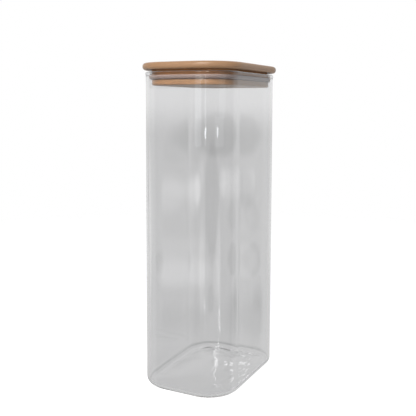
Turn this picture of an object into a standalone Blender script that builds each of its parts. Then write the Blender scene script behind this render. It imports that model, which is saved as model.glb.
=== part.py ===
"""Tall oblong pantry jar: a blown glass body, a bamboo lid and a silicone seal.

Metres, +Z up. The origin is the middle of the base, on the surface that the jar stands on.
The narrow side of the jar faces -Y and its long side faces +X. The lid lifts off along +Z.
"""

import math

import bmesh
import bpy

# Glass body
JAR_WIDTH = 0.0989  # along X, over the glass below the rim
JAR_DEPTH = 0.1389  # along Y, over the glass below the rim
JAR_HEIGHT = 0.314  # foot to top of rim
JAR_CORNER = 0.032  # radius of the upright corners, outside
WALL = 0.0024
BODY_LEAN = 0.0009  # how much further out the wall stands at the heel than at the rim
FLOOR_HEIGHT = 0.0024  # inner floor above the foot
FLOOR_FILLET = 0.0036  # inside, where the wall runs into the floor
HEEL_RADIUS = 0.006  # outside, where the wall turns under
FOOT_WIDTH = 0.004  # flat band that the jar stands on
PUNT_SLOPE = 0.005  # width of the slope that leads up from the foot
PUNT_RISE = 0.0005  # hollow of the underside
RIM_SWELL = 0.0005  # how far the fire-polished bead stands out from the wall
RIM_TAPER = 0.003  # height over which the wall swells into the bead

# Bamboo plate, the top board of the lid
PLATE_THICKNESS = 0.0067
PLATE_OVERHANG = 0.0031  # past the glass wall
PLATE_ROUND = 0.0029  # rounding of both edges
RIM_GAP = 0.0018  # plate above the rim, as the seal holds it

# Bamboo plug, the stepped board glued under the plate
PLUG_CLEARANCE = 0.0037  # plug to the inside of the glass
PLUG_ROUND = 0.0012  # rounding of the lower edge
NECK_HEIGHT = 0.0046  # plate to groove
GROOVE_HEIGHT = 0.005
GROOVE_DEPTH = 0.0025
LAND_HEIGHT = 0.0051  # below the groove
GLUE_GAP = 0.0003  # plate to plug

# Silicone ring in the groove, with one lip that flares out and up to the glass
SEAT_GAP = 0.0003  # ring to groove
SEAL_GAP = 0.0003  # lip to glass
LIP_THICKNESS = 0.0011
LIP_CURVE_SHARE = 0.85  # of the ring's height, the curved lower part of the lip

# Facets: steps in each upright corner, each quarter round of an edge, and each small round
CORNER_STEPS = 12
EDGE_STEPS = 4
SMALL_STEPS = 3
SHARP_ANGLE = math.radians(35)

# Directions in a profile, whose first axis is outwards and whose second is up
OUT, UP, IN, DOWN = 0, math.pi / 2, math.pi, -math.pi / 2

# Colours are linear RGB
GLASS_COLOUR = (0.88, 0.90, 0.89)
GLASS_INDEX = 1.47
BAMBOO_COLOUR = (0.51, 0.30, 0.155)
PLUG_COLOUR = (0.46, 0.28, 0.15)
SILICONE_COLOUR = (0.46, 0.40, 0.38)


def clear_scene():
    for obj in list(bpy.data.objects):
        bpy.data.objects.remove(obj, do_unlink=True)


def material(name, colour, roughness, transmission=0, index=None):
    """A Principled material; no piece of the jar is metal."""
    made = bpy.data.materials.new(name)
    made.use_nodes = True
    made.diffuse_color = (*colour, 1)
    shader = made.node_tree.nodes["Principled BSDF"]
    shader.inputs["Base Color"].default_value = (*colour, 1)
    shader.inputs["Roughness"].default_value = roughness
    shader.inputs["Metallic"].default_value = 0
    shader.inputs["Transmission Weight"].default_value = transmission
    if index:
        shader.inputs["IOR"].default_value = index
    return made


def arc(centre_out, centre_up, radius, start, end, steps, radius_up=None):
    """Points of a round in a profile, or of an ellipse when radius_up is given."""
    radius_up = radius if radius_up is None else radius_up
    turns = [start + (end - start) * step / steps for step in range(steps + 1)]
    return [(centre_out + radius * math.cos(t), centre_up + radius_up * math.sin(t)) for t in turns]


def outline(grow):
    """The jar's outline seen from above, moved outwards by grow, as points anticlockwise."""
    half_width = JAR_WIDTH / 2 + grow
    half_depth = JAR_DEPTH / 2 + grow
    corner = min(max(JAR_CORNER + grow, WALL), half_width, half_depth)
    points = []
    for turn, (side_x, side_y) in enumerate(((1, 1), (-1, 1), (-1, -1), (1, -1))):
        centre_x = side_x * (half_width - corner)
        centre_y = side_y * (half_depth - corner)
        start = turn * math.pi / 2
        points += arc(centre_x, centre_y, corner, start, start + math.pi / 2, CORNER_STEPS)
    return points


def first_loop(bm, grow, height):
    """The outline moved outwards by grow, at a height, as a closed loop. Gives its points."""
    points = [bm.verts.new((x, y, height)) for x, y in outline(grow)]
    for pair in zip(points, points[1:] + points[:1]):
        bm.edges.new(pair)
    return points


def next_loop(bm, points, grow, height):
    """Extrudes a loop to the outline moved outwards by grow, at a height. Gives its points."""
    edges = [bm.edges.get(pair) for pair in zip(points, points[1:] + points[:1])]
    made = set(bmesh.ops.extrude_edge_only(bm, edges=edges)["geom"])
    following = [
        next(edge.other_vert(point) for edge in point.link_edges if edge.other_vert(point) in made)
        for point in points
    ]
    for point, (x, y) in zip(following, outline(grow)):
        point.co = (x, y, height)
    return following


def loft(name, profile, finish, is_ring=False):
    """A piece whose section is the profile all round the jar's outline.

    A solid has a cap at both ends of its profile. A ring's profile is a closed section.
    """
    bm = bmesh.new()
    first = last = first_loop(bm, *profile[0])
    for grow, height in profile[1:]:
        last = next_loop(bm, last, grow, height)
    if is_ring:
        last = next_loop(bm, last, *profile[0])
        bmesh.ops.weld_verts(bm, targetmap=dict(zip(last, first)))
    else:
        bm.faces.new(first)
        bm.faces.new(last)
    bmesh.ops.recalc_face_normals(bm, faces=bm.faces)
    if bm.calc_volume(signed=True) < 0:
        bmesh.ops.reverse_faces(bm, faces=bm.faces)
    mesh = bpy.data.meshes.new(name)
    bm.to_mesh(mesh)
    bm.free()
    mesh.shade_smooth()
    mesh.set_sharp_from_angle(angle=SHARP_ANGLE)
    mesh.materials.append(finish)
    piece = bpy.data.objects.new(name, mesh)
    bpy.context.scene.collection.objects.link(piece)
    return piece


def underside_profile():
    """From the middle of the hollow underside, over the foot and round the heel to the wall."""
    foot_outer = BODY_LEAN - HEEL_RADIUS
    foot_inner = foot_outer - FOOT_WIDTH
    punt = [(foot_inner - PUNT_SLOPE, PUNT_RISE), (foot_inner, 0)]
    return punt + arc(foot_outer, HEEL_RADIUS, HEEL_RADIUS, DOWN, OUT, EDGE_STEPS)


def rim_profile():
    """The wall swells into a fire-polished bead, rolls over the top and runs down inside."""
    radius = (WALL + RIM_SWELL) / 2
    shoulder = JAR_HEIGHT - radius
    steps = [step / SMALL_STEPS for step in range(SMALL_STEPS)]
    swell = [
        (RIM_SWELL * (1 - math.cos(math.pi * share)) / 2, shoulder - RIM_TAPER * (1 - share))
        for share in steps
    ]
    return swell + arc(RIM_SWELL - radius, shoulder, radius, OUT, IN, 2 * EDGE_STEPS)


def floor_profile():
    """Down the inside wall, round the fillet and on to the floor."""
    centre = BODY_LEAN - WALL - FLOOR_FILLET
    return arc(centre, FLOOR_HEIGHT + FLOOR_FILLET, FLOOR_FILLET, OUT, DOWN, EDGE_STEPS)


def glass_jar():
    glass = material("glass", GLASS_COLOUR, 0.02, transmission=1, index=GLASS_INDEX)
    return loft("glass_jar", underside_profile() + rim_profile() + floor_profile(), glass)


# The lid's pieces are drawn from the underside of the plate, which is at zero
PLUG_SIDE = -(WALL + PLUG_CLEARANCE)
GROOVE_TOP = -NECK_HEIGHT
GROOVE_BOTTOM = GROOVE_TOP - GROOVE_HEIGHT
PLUG_BOTTOM = GROOVE_BOTTOM - LAND_HEIGHT


def lid_plate():
    bamboo = material("bamboo_plate", BAMBOO_COLOUR, 0.5)
    centre = PLATE_OVERHANG - PLATE_ROUND
    lower = arc(centre, PLATE_ROUND, PLATE_ROUND, DOWN, OUT, EDGE_STEPS)
    upper = arc(centre, PLATE_THICKNESS - PLATE_ROUND, PLATE_ROUND, OUT, UP, EDGE_STEPS)
    return loft("lid_plate", lower + upper, bamboo)


def lid_plug():
    bamboo = material("bamboo_plug", PLUG_COLOUR, 0.55)
    groove_back = PLUG_SIDE - GROOVE_DEPTH
    centre = PLUG_SIDE - PLUG_ROUND
    profile = arc(centre, PLUG_BOTTOM + PLUG_ROUND, PLUG_ROUND, DOWN, OUT, SMALL_STEPS)
    profile += [(PLUG_SIDE, GROOVE_BOTTOM), (groove_back, GROOVE_BOTTOM)]
    profile += [(groove_back, GROOVE_TOP), (PLUG_SIDE, GROOVE_TOP), (PLUG_SIDE, -GLUE_GAP)]
    return loft("lid_plug", profile, bamboo)


def seal_ring():
    """The ring's band fills the groove, and its lip curves out from the foot of the band."""
    silicone = material("silicone", SILICONE_COLOUR, 0.45)
    back = PLUG_SIDE - GROOVE_DEPTH + SEAT_GAP
    low = GROOVE_BOTTOM + SEAT_GAP
    high = GROOVE_TOP - SEAT_GAP
    reach = PLUG_CLEARANCE - SEAL_GAP
    curve = LIP_CURVE_SHARE * (high - low)
    tip = LIP_THICKNESS / 2
    tip_out = PLUG_SIDE + reach - tip
    outer_lip = arc(PLUG_SIDE, low + curve, reach, DOWN, OUT, EDGE_STEPS, radius_up=curve)
    rolled_tip = arc(tip_out, high - tip, tip, OUT, IN, SMALL_STEPS)
    inner_lip = arc(
        PLUG_SIDE,
        low + curve,
        reach - LIP_THICKNESS,
        OUT,
        DOWN,
        EDGE_STEPS,
        radius_up=curve - LIP_THICKNESS,
    )
    band = [(PLUG_SIDE, high), (back, high), (back, low)]
    return loft("seal_ring", outer_lip + rolled_tip + inner_lip + band, silicone, is_ring=True)


def lid():
    """The lid's three pieces hang on one empty at the underside of the plate."""
    lift = bpy.data.objects.new("lid_lift", None)
    lift.location = (0, 0, JAR_HEIGHT + RIM_GAP)
    bpy.context.scene.collection.objects.link(lift)
    for piece in (lid_plate(), lid_plug(), seal_ring()):
        piece.parent = lift


clear_scene()
glass_jar()
lid()
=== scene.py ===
import math

import bmesh
import bpy
from mathutils import Matrix, Vector, noise


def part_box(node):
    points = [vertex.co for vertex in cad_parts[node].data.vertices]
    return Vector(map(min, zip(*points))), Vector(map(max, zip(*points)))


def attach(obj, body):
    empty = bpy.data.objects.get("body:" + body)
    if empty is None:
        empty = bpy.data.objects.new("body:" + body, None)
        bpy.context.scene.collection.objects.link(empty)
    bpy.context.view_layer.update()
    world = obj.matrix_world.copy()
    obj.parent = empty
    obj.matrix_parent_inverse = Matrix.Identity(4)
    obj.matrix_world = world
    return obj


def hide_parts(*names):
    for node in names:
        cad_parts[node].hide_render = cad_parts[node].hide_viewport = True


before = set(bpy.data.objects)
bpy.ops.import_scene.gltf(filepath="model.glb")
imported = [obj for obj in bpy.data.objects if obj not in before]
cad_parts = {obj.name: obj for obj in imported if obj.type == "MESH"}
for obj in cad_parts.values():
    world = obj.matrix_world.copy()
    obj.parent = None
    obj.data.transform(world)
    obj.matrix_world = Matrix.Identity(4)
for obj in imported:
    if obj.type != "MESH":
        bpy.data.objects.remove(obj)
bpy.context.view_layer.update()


# Glass body: one piece of clear borosilicate, blown into an oblong mould with round corners.
# Its rim is cut and fire-polished into a bead. The mould keeps the outside true, and the inside
# of the walls and the floor stay a little wavy.
_, GLASS_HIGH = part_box("glass_jar")
BODY_LEAN = 0.0009
HALF_WIDTH = GLASS_HIGH.x - BODY_LEAN
HALF_DEPTH = GLASS_HIGH.y - BODY_LEAN
RIM_TOP = GLASS_HIGH.z
UPRIGHT_CORNER = 0.032
WALL = 0.0024
FLOOR_HEIGHT = 0.0024
FLOOR_FILLET = 0.0036
HEEL_RADIUS = 0.006
FOOT_WIDTH = 0.004
PUNT_SLOPE = 0.005
PUNT_RISE = 0.0005
RIM_SWELL = 0.0005
RIM_TAPER = 0.003
MIDDLE = 0.0475  # how far in from the wall the loops of a flat face go

CORNER_STEPS = 40
SIDE_STEPS = 20
ROUND_STEPS = 12
WALL_STEPS = 60
FLOOR_RINGS = 24
TIGHTEST_CORNER = 0.0015
SHARP = math.radians(40)
OUT, UP, IN, DOWN = 0, math.pi / 2, math.pi, -math.pi / 2

# Waves of the inside: how high each kind is, how wide and how far it reaches. The floor is calm
# near the wall, and wavy only towards +X and +Y.
WALL_WAVE = 0.00003
WALL_WAVE_WIDTH = 0.035
WALL_WAVE_HEIGHT = 0.120
LOW_WAVE = 0.00005
LOW_WAVE_WIDTH = 0.013
LOW_WAVE_HEIGHT = 0.022
LOW_WAVE_TOP = 0.085
FLOOR_WAVE = 0.00022
FLOOR_WAVE_LENGTH = 0.011
FLOOR_RIPPLE = 0.00014
FLOOR_RIPPLE_LENGTH = 0.009
FLOOR_RIPPLE_FADE = 0.022
FLOOR_CALM = 0.012
FLOOR_WAVY_BLEND = 0.030
FLOOR_WAVY_BACK = 0.020
FLOOR_BACK_SHARE = 0.7

GLASS_TINT = (0.965, 0.965, 0.968)
GLASS_SHADE = (0.940, 0.940, 0.945)
GLASS_INDEX = 1.47
# Painted shade: the glass is darker in a band round the heel, which draws the dark line that
# refraction makes along the base.
HEEL_PAINTED_SHADE = (0.60, 0.61, 0.61)
BLACK, WHITE = (0, 0, 0), (1, 1, 1)
HEEL_BAND = ((0.47, BLACK), (0.57, WHITE), (0.61, WHITE), (0.71, BLACK))  # by share of the heel
CORNER_START = Vector((HALF_WIDTH - UPRIGHT_CORNER, HALF_DEPTH - UPRIGHT_CORNER))
CORNER_AREA = UPRIGHT_CORNER**2 / 2
DRAWN_DEPTH = 0.00002
DRAWN_CELLS = (300, 300, 2)  # to a metre: fine upright lines, in the corners only
FLOW_CELLS, FLOW_SHIFT = (30, 30, 9), (2, 1, 0)


def round_points(centre_out, centre_up, radius_out, radius_up, start, end, steps):
    """Points of a round in a section, as how far out from the glass wall and how high."""
    turns = [start + (end - start) * step / steps for step in range(steps + 1)]
    return [
        (centre_out + radius_out * math.cos(turn), centre_up + radius_up * math.sin(turn))
        for turn in turns
    ]


def even_points(start, end, steps):
    """Points from start up to, and without, end."""
    wide, high = end[0] - start[0], end[1] - start[1]
    return [
        (start[0] + wide * step / steps, start[1] + high * step / steps) for step in range(steps)
    ]


def outline(grow):
    """The jar's outline seen from above, moved outwards by grow, as points anticlockwise."""
    half_width, half_depth = HALF_WIDTH + grow, HALF_DEPTH + grow
    corner = max(UPRIGHT_CORNER + grow, TIGHTEST_CORNER)
    rounds = []
    for turn, (side_x, side_y) in enumerate(((1, 1), (-1, 1), (-1, -1), (1, -1))):
        centre = (side_x * (half_width - corner), side_y * (half_depth - corner))
        start = turn * math.pi / 2
        end = start + math.pi / 2
        rounds.append(round_points(*centre, corner, corner, start, end, CORNER_STEPS))
    points = []
    for corner_points, following in zip(rounds, rounds[1:] + rounds[:1]):
        side = even_points(corner_points[-1], following[0], SIDE_STEPS)
        points += corner_points + side[1:]
    return points


def next_loop(mesh, loop, grow, height):
    """Extrudes a loop of points to the outline moved outwards by grow, at a height."""
    edges = [mesh.edges.get(pair) for pair in zip(loop, loop[1:] + loop[:1])]
    made = set(bmesh.ops.extrude_edge_only(mesh, edges=edges)["geom"])
    following = [
        next(edge.other_vert(point) for edge in point.link_edges if edge.other_vert(point) in made)
        for point in loop
    ]
    for point, (x, y) in zip(following, outline(grow)):
        point.co = (x, y, height)
    return following


def lofted(section, is_ring=False):
    """A mesh whose section runs all round the jar's outline, and the points of each loop."""
    mesh = bmesh.new()
    (grow, height), *others = section
    first = [mesh.verts.new((x, y, height)) for x, y in outline(grow)]
    for pair in zip(first, first[1:] + first[:1]):
        mesh.edges.new(pair)
    loops = [first]
    for grow, height in others:
        loops.append(next_loop(mesh, loops[-1], grow, height))
    if is_ring:
        last = next_loop(mesh, loops[-1], *section[0])
        bmesh.ops.weld_verts(mesh, targetmap=dict(zip(last, first)))
    else:
        mesh.faces.new(loops[0])
        mesh.faces.new(loops[-1])
    bmesh.ops.recalc_face_normals(mesh, faces=mesh.faces)
    if mesh.calc_volume(signed=True) < 0:
        bmesh.ops.reverse_faces(mesh, faces=mesh.faces)
    mesh.normal_update()
    return mesh, loops


def finished_piece(mesh, name, material, body, node):
    """The mesh as a smooth piece that rides on a body and stands for a node."""
    data = bpy.data.meshes.new(name)
    mesh.to_mesh(data)
    mesh.free()
    data.shade_smooth()
    data.set_sharp_from_angle(angle=SHARP)
    data.materials.append(material)
    piece = bpy.data.objects.new(name, data)
    bpy.context.scene.collection.objects.link(piece)
    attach(piece, body)
    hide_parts(node)
    return piece


class Signal:
    """A number that changes over a surface: a socket that takes Python's operators."""

    def __init__(self, finish, socket):
        self.finish = finish
        self.socket = socket

    def maths(self, operation, *others):
        inputs = dict(enumerate((self, *others)))
        return self.finish.node("ShaderNodeMath", {"operation": operation}, inputs)

    def __add__(self, other):
        return self.maths("ADD", other)

    def __neg__(self):
        return self.maths("MULTIPLY", -1.0)

    def __sub__(self, other):
        return self.maths("SUBTRACT", other)

    def __rsub__(self, other):
        return -self + other

    def __mul__(self, other):
        return self.maths("MULTIPLY", other)

    def __truediv__(self, other):
        return self.maths("DIVIDE", other)

    def __gt__(self, other):
        return self.maths("GREATER_THAN", other)

    __radd__ = __add__
    __rmul__ = __mul__


class Finish:
    """A material of one Principled shader, with the one way to add a node to it."""

    def __init__(self, name, **constants):
        self.material = bpy.data.materials.new(name)
        self.material.use_nodes = True
        self.tree = self.material.node_tree
        self.shader = self.tree.nodes["Principled BSDF"]
        self.paint(**constants)

    def node(self, kind, settings=None, inputs=None, output=0):
        """Adds a node: its settings or ramp stops, then the values or links of its sockets."""
        made = self.tree.nodes.new(kind)
        for setting, value in (settings or {}).items():
            if setting == "stops":
                self.fill_ramp(made.color_ramp, value)
            else:
                setattr(made, setting, value)
        for socket, value in (inputs or {}).items():
            self.feed(made.inputs[socket], value)
        return Signal(self, made.outputs[output])

    def fill_ramp(self, ramp, stops):
        while len(ramp.elements) < len(stops):
            ramp.elements.new(1)
        for element, (place, colour) in zip(ramp.elements, stops):
            element.position = place
            element.color = (*colour, 1)

    def feed(self, socket, value):
        if isinstance(value, Signal):
            self.tree.links.new(value.socket, socket)
        elif socket.type == "RGBA":
            socket.default_value = (*value, 1)
        else:
            socket.default_value = value

    def paint(self, **inputs):
        """Sets the shader's own sockets, or links what varies over the surface to them."""
        for socket, value in inputs.items():
            self.feed(self.shader.inputs[socket.replace("_", " ")], value)

    def place(self, stretch=(1, 1, 1), shift=(0, 0, 0)):
        """Object coordinates in metres, times stretch and then moved by shift."""
        where = self.node("ShaderNodeTexCoord", output="Object")
        moved = {"Vector": where, "Scale": stretch, "Location": shift}
        return self.node("ShaderNodeMapping", inputs=moved)

    def axis(self, number):
        """How far the point is along one axis, in metres."""
        return self.node("ShaderNodeSeparateXYZ", inputs={0: self.place()}, output=number)

    def ray(self, question):
        """What the light path says of the ray, such as Is Camera Ray."""
        return self.node("ShaderNodeLightPath", output=question)

    def cloud(self, where, detail=2.0, roughness=0.5):
        """Soft noise from 0 to 1, one cell to each unit of where."""
        noise_inputs = {"Vector": where, "Scale": 1.0, "Detail": detail, "Roughness": roughness}
        return self.node("ShaderNodeTexNoise", inputs=noise_inputs)

    def blend(self, share, first, second):
        """Two colours mixed by share, which runs from 0 to 1."""
        return self.node("ShaderNodeMix", {"data_type": "RGBA"}, {0: share, 6: first, 7: second}, 2)

    def relief(self, height, strength, distance):
        """A bump whose height runs from 0 to 1 over distance."""
        inputs = {"Height": height, "Strength": strength, "Distance": distance}
        return self.node("ShaderNodeBump", inputs=inputs)


foot_outer = BODY_LEAN - HEEL_RADIUS
foot_inner = foot_outer - FOOT_WIDTH
heel = round_points(foot_outer, HEEL_RADIUS, HEEL_RADIUS, HEEL_RADIUS, DOWN, OUT, ROUND_STEPS)
rim_radius = (WALL + RIM_SWELL) / 2
shoulder = RIM_TOP - rim_radius
bead_foot = shoulder - RIM_TAPER
swell = [
    (RIM_SWELL * (1 - math.cos(math.pi * share)) / 2, bead_foot + RIM_TAPER * share)
    for share in (step / ROUND_STEPS for step in range(ROUND_STEPS))
]
bead = round_points(
    RIM_SWELL - rim_radius, shoulder, rim_radius, rim_radius, OUT, IN, 2 * ROUND_STEPS
)
floor_edge = BODY_LEAN - WALL
fillet_out = floor_edge - FLOOR_FILLET
fillet_up = FLOOR_HEIGHT + FLOOR_FILLET
fillet = round_points(fillet_out, fillet_up, FLOOR_FILLET, FLOOR_FILLET, OUT, DOWN, ROUND_STEPS)
outside = [(-MIDDLE, PUNT_RISE), (foot_inner - PUNT_SLOPE, PUNT_RISE), (foot_inner, 0)]
outside += heel + even_points(heel[-1], (0, bead_foot), WALL_STEPS)[1:] + swell + bead
inside = even_points(bead[-1], fillet[0], WALL_STEPS)[1:] + fillet
inside += even_points(fillet[-1], (-MIDDLE, FLOOR_HEIGHT), FLOOR_RINGS)[1:]

glass_mesh, glass_loops = lofted(outside + inside)
for (grow, _), loop in zip(inside, glass_loops[len(outside):]):
    from_wall = floor_edge - grow
    calm = min(max(from_wall - FLOOR_FILLET, 0) / FLOOR_CALM, 1)
    ripple = math.exp(-from_wall / FLOOR_RIPPLE_FADE) * FLOOR_RIPPLE * calm
    for point in loop:
        x, y, z = point.co
        slow = noise.noise(Vector((x / WALL_WAVE_WIDTH, y / WALL_WAVE_WIDTH, z / WALL_WAVE_HEIGHT)))
        choppy = noise.noise(Vector((x, y, 0)) / FLOOR_WAVE_LENGTH)
        ring = math.sin(math.tau * from_wall / FLOOR_RIPPLE_LENGTH + math.pi * choppy)
        wavy = max(x, FLOOR_BACK_SHARE * (y - FLOOR_WAVY_BACK)) / FLOOR_WAVY_BLEND
        rise = WALL_WAVE * slow
        rise += min(max(wavy, 0), 1) * (calm * FLOOR_WAVE * choppy + ripple * ring)
        low = Vector((x / LOW_WAVE_WIDTH, y / LOW_WAVE_WIDTH, z / LOW_WAVE_HEIGHT))
        rise += LOW_WAVE * noise.noise(low) * max(1 - z / LOW_WAVE_TOP, 0)
        point.co += point.normal * rise

glass = Finish("glass", IOR=GLASS_INDEX, Transmission_Weight=1.0, Roughness=0.0)
across, along, height = (glass.axis(axis) for axis in range(3))
corner = (across.maths("ABSOLUTE") - CORNER_START.x).maths("MAXIMUM", 0.0)
corner *= (along.maths("ABSOLUTE") - CORNER_START.y).maths("MAXIMUM", 0.0)
drawn = glass.cloud(glass.place(DRAWN_CELLS), detail=0)
flow = glass.cloud(glass.place(FLOW_CELLS, FLOW_SHIFT), detail=0)
# The painted shade of the heel: the glass turns darker in a band by height.
band = glass.node("ShaderNodeValToRGB", {"stops": HEEL_BAND}, {0: height / HEEL_RADIUS})
glass.paint(
    Base_Color=glass.blend(band, glass.blend(flow, GLASS_TINT, GLASS_SHADE), HEEL_PAINTED_SHADE),
    Normal=glass.relief(drawn * corner / CORNER_AREA + flow, 1.0, DRAWN_DEPTH),
)
finished_piece(glass_mesh, "glass_body", glass.material, "jar", "glass_jar")


# Bamboo plug: the stepped board glued under the plate, milled all round with a square groove.
# The jar's mouth takes it with a wide gap, which the seal closes. Its lower edge is rounded off.
PLUG_LOW, PLUG_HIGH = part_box("lid_plug")
PLATE_LOW, PLATE_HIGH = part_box("lid_plate")
PLUG_SIDE = PLUG_HIGH.x - HALF_WIDTH
PLUG_ROUND = 0.0012
GROOVE_DEPTH = 0.0025
NECK_HEIGHT = 0.0046
GROOVE_HEIGHT = 0.005
GLUE_LINE = 0.00005
GROOVE_TOP = PLATE_LOW.z - NECK_HEIGHT
GROOVE_BOTTOM = GROOVE_TOP - GROOVE_HEIGHT
GROOVE_BACK = PLUG_SIDE - GROOVE_DEPTH

# The cells of each noise are given by how many fit in a metre. Shares are of a strip's width or of
# the distance between its joints, and a shade is how far a mark goes from pale to dark.
STREAK_CELLS = (22, 22, 1500)
LAYER_CELLS = (9, 9, 420)
FIBRE_CELLS = (1 / 0.0007, 1 / 0.070, 60)
EDGE_PORE_CELLS = (160, 160, 2600)
FACE_PORE_CELLS = (1500, 45, 45)
PORE_BAND = ((0.58, BLACK), (0.74, WHITE))
PORE_SHARE = 0.5
STRIP_WIDTH = 0.0195
SEAM_SHARE = 0.008
JOINT_DISTANCE = 0.21
JOINT_SHARE = 0.012
JOINT_WANDER = 0.015
JOINT_SHUFFLE = 7.3
FACE_BLEND = 0.0012
LAYER_SHADE, STREAK_SHADE, EDGE_LIFT = 0.75, 0.55, 0.25
FIBRE_SHADE, STRIP_SHADE, FACE_LIFT = 0.40, 0.35, 0.12
SEAM_SHADE, JOINT_SHADE = 0.35, 0.30
OIL, OIL_ROUGHNESS = 0.25, 0.25
SATIN, STREAK_ROUGHNESS, RAW_ROUGHNESS = 0.36, 0.16, 0.4
PORE_RELIEF, FIBRE_RELIEF = 0.5, 0.4
GRAIN_STRENGTH, GRAIN_DEPTH = 0.22, 0.00015
BAMBOO_PALE = (0.480, 0.275, 0.137)
BAMBOO_DARK = (0.320, 0.160, 0.073)
BAMBOO_PORE = (0.230, 0.100, 0.045)
# Painted shade: the plug's neck and groove, in the shadow under the plate, are painted this deeper
# brown.
NECK_PAINTED_SHADE = (0.520, 0.230, 0.075)


def bamboo(name, low, high, shift, neck=None):
    """Pressed bamboo. Its layers show as fine lines round the edge, and its strips run along Y.

    low and high are the heights of the two faces of the board. Above neck the wood has no oil on
    it, and its deeper brown is painted shade, for the shadow under the plate's overhang.
    """
    finish = Finish(name, IOR=1.5, Coat_Weight=OIL, Coat_Roughness=OIL_ROUGHNESS)
    streak = finish.cloud(finish.place(STREAK_CELLS, (0, 0, shift)), detail=3)
    layer = finish.cloud(finish.place(LAYER_CELLS, (shift, 0, 0)), detail=2)
    fibre = finish.cloud(finish.place(FIBRE_CELLS), detail=3)
    strips = finish.axis(0) / STRIP_WIDTH + shift
    tone = finish.node(
        "ShaderNodeTexWhiteNoise", {"noise_dimensions": "1D"}, {"W": strips.maths("FLOOR")}
    )
    seam = (strips.maths("FRACT") - 0.5).maths("ABSOLUTE") > 0.5 - SEAM_SHARE
    joints = finish.axis(1) / JOINT_DISTANCE + JOINT_SHUFFLE * tone + JOINT_WANDER * fibre
    joint = 1 - (joints.maths("FRACT") - 0.5).maths("ABSOLUTE") / JOINT_SHARE
    height = finish.axis(2)
    middle, half = (low + high) / 2, (high - low) / 2
    from_middle = (height - middle).maths("ABSOLUTE")
    flat = finish.node(
        "ShaderNodeMapRange",
        {"interpolation_type": "SMOOTHSTEP"},
        {"Value": from_middle, "From Min": half - FACE_BLEND, "From Max": half},
    )
    edge_shade = LAYER_SHADE * layer + STREAK_SHADE * streak - EDGE_LIFT
    face_shade = FIBRE_SHADE * fibre + STRIP_SHADE * tone - FACE_LIFT + SEAM_SHADE * seam
    face_shade += JOINT_SHADE * joint.maths("MAXIMUM", 0.0)
    shade = edge_shade + flat * (face_shade - edge_shade)
    wood = finish.blend(shade.maths("MAXIMUM", 0.0), BAMBOO_PALE, BAMBOO_DARK)
    edge_pores = finish.cloud(finish.place(EDGE_PORE_CELLS, (0, shift, 0)), detail=1)
    face_pores = finish.cloud(finish.place(FACE_PORE_CELLS, (0, shift, 0)), detail=1)
    pores = edge_pores + flat * (face_pores - edge_pores)
    dashes = finish.node("ShaderNodeValToRGB", {"stops": PORE_BAND}, {0: pores})
    marked = finish.blend(dashes * PORE_SHARE, wood, BAMBOO_PORE)
    roughness = SATIN + STREAK_ROUGHNESS * streak
    # Above neck: painted shade in a deeper brown, and no oil.
    if neck:
        raw_and_painted_shade = height > neck
        marked = finish.blend(raw_and_painted_shade, marked, NECK_PAINTED_SHADE)
        roughness += RAW_ROUGHNESS * raw_and_painted_shade
        finish.paint(Coat_Weight=OIL - OIL * raw_and_painted_shade)
    grain = streak + PORE_RELIEF * dashes + FIBRE_RELIEF * flat * fibre
    finish.paint(
        Base_Color=marked,
        Roughness=roughness,
        Normal=finish.relief(grain, GRAIN_STRENGTH, GRAIN_DEPTH),
    )
    return finish


plug_bottom = PLUG_LOW.z
plug_section = [(-MIDDLE, plug_bottom)]
plug_section += round_points(
    PLUG_SIDE - PLUG_ROUND, plug_bottom + PLUG_ROUND, PLUG_ROUND, PLUG_ROUND, DOWN, OUT, ROUND_STEPS
)
plug_section += [(PLUG_SIDE, GROOVE_BOTTOM), (GROOVE_BACK, GROOVE_BOTTOM)]
plug_section += [(GROOVE_BACK, GROOVE_TOP), (PLUG_SIDE, GROOVE_TOP)]
plug_section += [(PLUG_SIDE, PLATE_LOW.z - GLUE_LINE)]
plug_mesh, _ = lofted(plug_section)
plug_wood = bamboo("bamboo_plug", PLUG_LOW.z, PLUG_HIGH.z, 3.7, neck=GROOVE_BOTTOM + GLUE_LINE)
plug_piece = finished_piece(
    plug_mesh, "plug_board", plug_wood.material, "lid", "lid_plug"
)


# Silicone seal: a moulded ring that sits in the plug's groove. One lip curves out from its foot
# and presses on the glass, with an open channel behind it so that it can bend.
SEAL_LOW, SEAL_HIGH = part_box("seal_ring")
LIP_OUT = SEAL_HIGH.x - HALF_WIDTH
LIP_THICKNESS = 0.0011
LIP_CURVE_SHARE = 0.85
SEAT_GAP = 0.0003
SILICONE = (0.39, 0.29, 0.255)
SILICONE_SHADE = 0.88  # of its colour, where it is least milky
MILK_CELLS = (90, 90, 300)
GRIP_CELLS = (2500, 2500, 2500)

seal_back = GROOVE_BACK + SEAT_GAP
lip_reach = LIP_OUT - PLUG_SIDE
lip_curve = LIP_CURVE_SHARE * (SEAL_HIGH.z - SEAL_LOW.z)
lip_tip = LIP_THICKNESS / 2
lip_centre = (PLUG_SIDE, SEAL_LOW.z + lip_curve)
seal_section = round_points(*lip_centre, lip_reach, lip_curve, DOWN, OUT, ROUND_STEPS)
seal_section += round_points(
    LIP_OUT - lip_tip, SEAL_HIGH.z - lip_tip, lip_tip, lip_tip, OUT, IN, ROUND_STEPS
)
seal_section += round_points(
    *lip_centre, lip_reach - LIP_THICKNESS, lip_curve - LIP_THICKNESS, OUT, DOWN, ROUND_STEPS
)
seal_section += [(PLUG_SIDE, SEAL_HIGH.z), (seal_back, SEAL_HIGH.z), (seal_back, SEAL_LOW.z)]
seal_mesh, _ = lofted(seal_section, is_ring=True)

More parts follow.
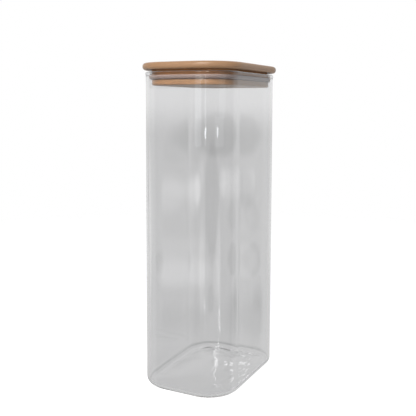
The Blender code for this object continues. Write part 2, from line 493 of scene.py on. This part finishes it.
silicone = Finish("silicone", IOR=1.41)
silicone.paint(Subsurface_Weight=0.15, Subsurface_Radius=(0.002, 0.0015, 0.0013))
milky = silicone.cloud(silicone.place(MILK_CELLS), detail=3)
silicone_shaded = tuple(SILICONE_SHADE * part for part in SILICONE)
silicone.paint(
    Base_Color=silicone.blend(milky, SILICONE, silicone_shaded),
    Roughness=0.34 + 0.2 * milky,
    Normal=silicone.relief(silicone.cloud(silicone.place(GRIP_CELLS)), 0.1, 0.00005),
)
seal_piece = finished_piece(
    seal_mesh, "silicone_seal", silicone.material, "lid", "seal_ring"
)


# Bamboo plate: the lid's top board, pressed from strips and sanded, with both edges well rounded.
# It overhangs the rim all round and is what the hand lifts.
PLATE_OVERHANG = PLATE_HIGH.x - HALF_WIDTH
PLATE_ROUND = 0.0029

plate_out = PLATE_OVERHANG - PLATE_ROUND
plate_section = [(-MIDDLE, PLATE_LOW.z)]
plate_section += round_points(
    plate_out, PLATE_LOW.z + PLATE_ROUND, PLATE_ROUND, PLATE_ROUND, DOWN, OUT, ROUND_STEPS
)
plate_section += round_points(
    plate_out, PLATE_HIGH.z - PLATE_ROUND, PLATE_ROUND, PLATE_ROUND, OUT, UP, ROUND_STEPS
)
plate_section += [(-MIDDLE, PLATE_HIGH.z)]
plate_mesh, _ = lofted(plate_section)
plate_wood = bamboo("bamboo_plate", PLATE_LOW.z, PLATE_HIGH.z, 8.2)
plate_piece = finished_piece(
    plate_mesh, "plate_board", plate_wood.material, "lid", "lid_plate"
)


# Studio: a small pale floor that fades into a white surround, and a large soft lamp high in front.
# The camera stands where the photograph was taken. What the glass shows and reflects is a grey
# room with soft shapes, as in the photograph, and lamps that stand for windows.
PICTURE = 416
FOCAL_PIXELS = 649.586
CENTRE_PIXEL = Vector((220, 182))
SENSOR = 36.0
YAW, PITCH, ROLL = math.radians(26.415), math.radians(6.779), math.radians(0.291)
EYE = Vector((0.306846, -0.597568, 0.282676))

back = Vector((math.sin(YAW) * math.cos(PITCH), -math.cos(YAW) * math.cos(PITCH), math.sin(PITCH)))
level = Vector((math.cos(YAW), math.sin(YAW), 0))
upward = back.cross(level)
right = level * math.cos(ROLL) + upward * math.sin(ROLL)
above = upward * math.cos(ROLL) - level * math.sin(ROLL)

camera_data = bpy.data.cameras.new("camera")
camera = bpy.data.objects.new("camera", camera_data)
bpy.context.scene.collection.objects.link(camera)
camera_data.sensor_width = SENSOR
camera_data.lens = FOCAL_PIXELS / PICTURE * SENSOR
camera_data.shift_x = (PICTURE / 2 - CENTRE_PIXEL.x) / PICTURE
camera_data.shift_y = (CENTRE_PIXEL.y - PICTURE / 2) / PICTURE
camera.matrix_world = Matrix.Translation(EYE) @ Matrix((right, above, back)).transposed().to_4x4()
bpy.context.scene.camera = camera

# The room, in degrees of bearing to the right of the camera's heading and of height. The part that
# shows through the glass repeats four times round, so that the jar is alike from its four sides.
# Each patch has its middle, its half width and half height, its softness and what it adds.
ROOM_ABOVE, ROOM_BELOW, ROOM_MIRRORED = 0.80, 0.63, 0.42
ROOM_REPEAT = 90
HORIZON = -1.1
HORIZON_BLUR = 1.9
ROOM_PATCHES = (
    ((0.4, -2.6), (5.6, 2.4), 0.4, -0.10),
    ((-3.9, -4.0), (1.7, 1.6), 0.6, -0.025),
    ((-0.7, -8.4), (1.5, 6.2), 0.3, -0.065),
    ((-4.6, -7.8), (2.1, 2.4), 0.7, 0.08),
    ((-39.3, -7.4), (1.4, 2.1), 0.5, -0.22),
    ((-39.3, -9.9), (1.4, 1.8), 0.6, 0.10),
    ((-39.3, -13.5), (1.4, 1.9), 0.4, 0.18),
    ((3.4, -9.8), (1.9, 1.8), 0.5, -0.05),
    ((3.6, -13.5), (1.9, 1.7), 0.3, -0.065),
    ((-6.8, -13.9), (1.9, 1.2), 0.4, -0.05),
    ((-4.2, -14.7), (4.4, 1.9), 0.8, 0.12),
    ((0.2, -15.0), (0.8, 2.4), 0.6, 0.05),
    ((-0.8, -17.0), (0.7, 1.6), 0.4, -0.05),
    ((-4.6, -18.6), (4.0, 1.7), 0.8, -0.04),
    ((4.4, -18.4), (3.6, 3.0), 0.7, -0.09),
    ((-4.2, -12.6), (3.0, 1.6), 0.8, 0.045),
    ((5.2, -16.8), (2.2, 2.4), 0.8, -0.06),
    ((3.0, -22.5), (2.6, 2.2), 0.8, -0.06),
    ((-24, -11), (9, 11), 0.7, 0.21),
    ((25, -9), (17, 9), 0.7, 0.12),
    ((0, -28), (180, 7.5), 0.6, -0.06),
    ((-1.2, 21.15), (0.9, 0.30), 0.5, -0.80),
    ((1.0, 21.10), (1.3, 0.20), 0.7, -0.80),
)
# What only reflections show, by the bearing from behind the camera, positive to its left
BEHIND_PATCHES = (
    ((44, -7.1), (16, 1.9), 0.6, 1.35),
    ((-50, -6.5), (10, 1.6), 0.3, 0.5),
    ((-62, -6.8), (26, 2.6), 0.8, 0.5),
    ((27, -14), (13, 5.5), 0.6, 0.8),
    ((-37, -15), (6, 6), 0.6, 0.6),
)
SPARKLES = (
    ((-36, -19.4), (6, 2.4), 0.5, 5.0),
    ((18, 2.7), (26, 0.6), 0.5, 5.0),
)
SPARKLE_CELLS = (28, 28, 70)
SPARKLE_LEVEL = 0.56

FLOOR_RADIUS = 1.1
FLOOR_SOLID = 0.45
FLOOR_COLOUR = (0.72, 0.72, 0.72)
FLOOR_GLOW = 0.90
FLOOR_SHADE = (0.24, 0.24, 0.24)
FLOOR_SEGMENTS = 96
AMBIENT = 0.45
AMBIENT_COLOUR = (0.90, 0.98, 1.12)

floor_mesh = bmesh.new()
bmesh.ops.create_circle(floor_mesh, cap_ends=True, segments=FLOOR_SEGMENTS, radius=FLOOR_RADIUS)
floor_data = bpy.data.meshes.new("floor")
floor_mesh.to_mesh(floor_data)
floor_mesh.free()
floor = bpy.data.objects.new("floor", floor_data)
bpy.context.scene.collection.objects.link(floor)

pale = Finish("pale_floor", Base_Color=FLOOR_COLOUR, Roughness=0.9)
glow = pale.node("ShaderNodeEmission", inputs={"Color": WHITE, "Strength": FLOOR_GLOW})
shade = pale.node("ShaderNodeBsdfDiffuse", inputs={"Color": FLOOR_SHADE})
white = pale.node("ShaderNodeAddShader", inputs={0: glow, 1: shade})
lit = Signal(pale, pale.shader.outputs[0])
by_glass = pale.ray("Is Glossy Ray") + pale.ray("Is Transmission Ray")
shown = pale.node("ShaderNodeMixShader", inputs={0: pale.ray("Is Camera Ray"), 1: lit, 2: white})
radius = pale.node("ShaderNodeVectorMath", {"operation": "LENGTH"}, {0: pale.place()}, "Value")
fade = pale.node(
    "ShaderNodeMapRange",
    {"interpolation_type": "SMOOTHSTEP"},
    {"Value": radius, "From Min": FLOOR_SOLID, "From Max": FLOOR_RADIUS},
)
nothing = pale.node("ShaderNodeBsdfTransparent")
hidden = fade.maths("MAXIMUM", by_glass)
faded = pale.node("ShaderNodeMixShader", inputs={0: hidden, 1: shown, 2: nothing})
pale.tree.links.new(faded.socket, pale.tree.nodes["Material Output"].inputs["Surface"])
floor_data.materials.append(pale.material)


class Surround(Finish):
    """The world's nodes, added in the same way as a material's."""

    def __init__(self, tree):
        self.tree = tree

    def patch(self, bearing, rise, place, size, softness):
        """A soft oval of the room, in degrees of bearing and of height, 1 in its middle."""
        across, up = (bearing - place[0]) / size[0], (rise - place[1]) / size[1]
        apart = (across * across + up * up).maths("SQRT")
        soft = {"Value": apart, "From Min": 1.0, "From Max": 1.0 - softness}
        return self.node("ShaderNodeMapRange", {"interpolation_type": "SMOOTHSTEP"}, soft)


world = bpy.data.worlds.new("surround")
bpy.context.scene.world = world
world.use_nodes = True
surround = Surround(world.node_tree)
looked = surround.node("ShaderNodeTexCoord", output="Generated")
looked_x, looked_y, looked_z = (
    surround.node("ShaderNodeSeparateXYZ", inputs={0: looked}, output=axis) for axis in range(3)
)
degree = math.degrees(1)
rise = degree * looked_z.maths("ARCSINE")
bearing = degree * looked_x.maths("ARCTAN2", looked_y) + math.degrees(YAW)
turned = bearing.maths("WRAP", ROOM_REPEAT / 2, -ROOM_REPEAT / 2)
behind = (bearing + 180).maths("WRAP", 180, -180)

lift = {"Value": rise, "From Min": HORIZON - HORIZON_BLUR, "From Max": HORIZON + HORIZON_BLUR}
lift.update({"To Min": ROOM_BELOW, "To Max": ROOM_ABOVE})
room = surround.node("ShaderNodeMapRange", {"interpolation_type": "SMOOTHSTEP"}, lift)
for place, size, softness, amount in ROOM_PATCHES:
    room = room + amount * surround.patch(turned, rise, place, size, softness)

dimmed = ROOM_MIRRORED * room
for place, size, softness, amount in BEHIND_PATCHES:
    dimmed = dimmed + amount * surround.patch(behind, rise, place, size, softness)
grain = surround.node("ShaderNodeMapping", inputs={"Vector": looked, "Scale": SPARKLE_CELLS})
broken = surround.cloud(grain, detail=3) > SPARKLE_LEVEL
for place, size, softness, amount in SPARKLES:
    dimmed = dimmed + amount * broken * surround.patch(behind, rise, place, size, softness)

ambient = surround.tree.nodes["Background"]
surround.feed(ambient.inputs["Color"], AMBIENT_COLOUR)
surround.feed(ambient.inputs["Strength"], AMBIENT)
even = Signal(surround, ambient.outputs[0])
grey = surround.node("ShaderNodeBackground", inputs={"Color": WHITE, "Strength": room})
dim = surround.node("ShaderNodeBackground", inputs={"Color": WHITE, "Strength": dimmed})
plain = surround.node("ShaderNodeBackground", inputs={"Color": WHITE, "Strength": 1.0})

# Light that has met no rough surface shows the room, the dimmer one if a reflection sends it to
# the half of the room where the photograph was taken from. The camera itself sees plain white.
straight = 1 - (surround.ray("Diffuse Depth") > 0.5)
towards = {0: looked, 1: back}
nearer = surround.node("ShaderNodeVectorMath", {"operation": "DOT_PRODUCT"}, towards, "Value")
mirrored = (surround.ray("Glossy Depth") > 0.5) * straight * (nearer > 0)
through = (surround.ray("Is Glossy Ray") + surround.ray("Is Transmission Ray")) * straight
direct = surround.ray("Is Camera Ray")
shown = surround.node("ShaderNodeMixShader", inputs={0: through, 1: even, 2: grey})
shown = surround.node("ShaderNodeMixShader", inputs={0: mirrored, 1: shown, 2: dim})
mixed = surround.node("ShaderNodeMixShader", inputs={0: direct, 1: shown, 2: plain})
surround.tree.links.new(mixed.socket, surround.tree.nodes["World Output"].inputs["Surface"])


def soft_lamp(name, bearing, height, distance, size, power, colour):
    """A rectangular lamp that faces the jar from a bearing, in degrees from -Y towards +X."""
    data = bpy.data.lights.new(name, "AREA")
    data.shape = "RECTANGLE"
    data.size, data.size_y = size
    data.energy = power
    data.color = colour
    lamp = bpy.data.objects.new(name, data)
    turn = math.radians(bearing)
    lamp.location = (distance * math.sin(turn), -distance * math.cos(turn), height)
    aim = Vector((0, 0, min(height, RIM_TOP))) - lamp.location
    lamp.rotation_euler = aim.to_track_quat("-Z", "Y").to_euler()
    lamp.visible_camera = False
    lamp.visible_transmission = False
    bpy.context.scene.collection.objects.link(lamp)
    return lamp


# The key lamp shines through the glass, which otherwise keeps a lamp's light from what is behind it
KEY = {"bearing": 4, "height": 1.15, "distance": 1.4, "size": (0.9, 0.7), "power": 20}
key = soft_lamp("key", colour=(1.0, 0.96, 0.91), **KEY)
shaded = bpy.data.collections.new("shaded_by")
for piece in (floor, plug_piece, seal_piece, plate_piece):
    shaded.objects.link(piece)
key.light_linking.blocker_collection = shaded

# Lamps that only glossy surfaces show: windows, the sills under them, and bright spots before them
DAYLIGHT = (0.93, 0.97, 1.0)
WINDOW_DISTANCE, GLINT_DISTANCE, BACK_DISTANCE = 1.2, 1.15, 1.4
WINDOWS = (
    ("left_window", -12, 0.64, (0.50, 0.80), 2.6),
    ("narrow_window", 12, 0.64, (0.10, 0.80), 0.5),
    ("right_window", 68, 0.64, (0.50, 0.80), 1.0),
    ("left_sill", -12, 0.218, (0.48, 0.080), 0.19),
    ("narrow_sill", 13, 0.218, (0.09, 0.080), 0.05),
    ("right_sill", 58, 0.218, (0.64, 0.080), 0.16),
)
GLINTS = (
    ("left_glint", 13, 0.2175, (0.12, 0.0275), 0.10),
    ("right_glint", 52, 0.217, (0.09, 0.0275), 0.08),
)
for distance, lamps in ((WINDOW_DISTANCE, WINDOWS), (GLINT_DISTANCE, GLINTS)):
    for name, toward, height, size, power in lamps:
        window = soft_lamp(name, toward, height, distance, size, power, DAYLIGHT)
        window.visible_diffuse = False

# Small lamps behind the jar, which the floor's waves break up into glints
BACK_LAMPS = (
    ("back_lamp", -154.0, 0.56, (0.016, 0.16), 0.012),
    ("back_glint", -157.4, 0.61, (0.04, 0.05), 0.012),
)
for name, toward, height, size, power in BACK_LAMPS:
    glint = soft_lamp(name, toward, height, BACK_DISTANCE, size, power, WHITE)
    glint.visible_diffuse = False
    glint.visible_transmission = True

# Light runs a long way inside the glass wall, and with few bounces the edges turn black
BOUNCES = 64
bpy.context.scene.view_settings.view_transform = "Standard"
bpy.context.scene.cycles.max_bounces = BOUNCES
bpy.context.scene.cycles.glossy_bounces = BOUNCES
bpy.context.scene.cycles.transmission_bounces = BOUNCES
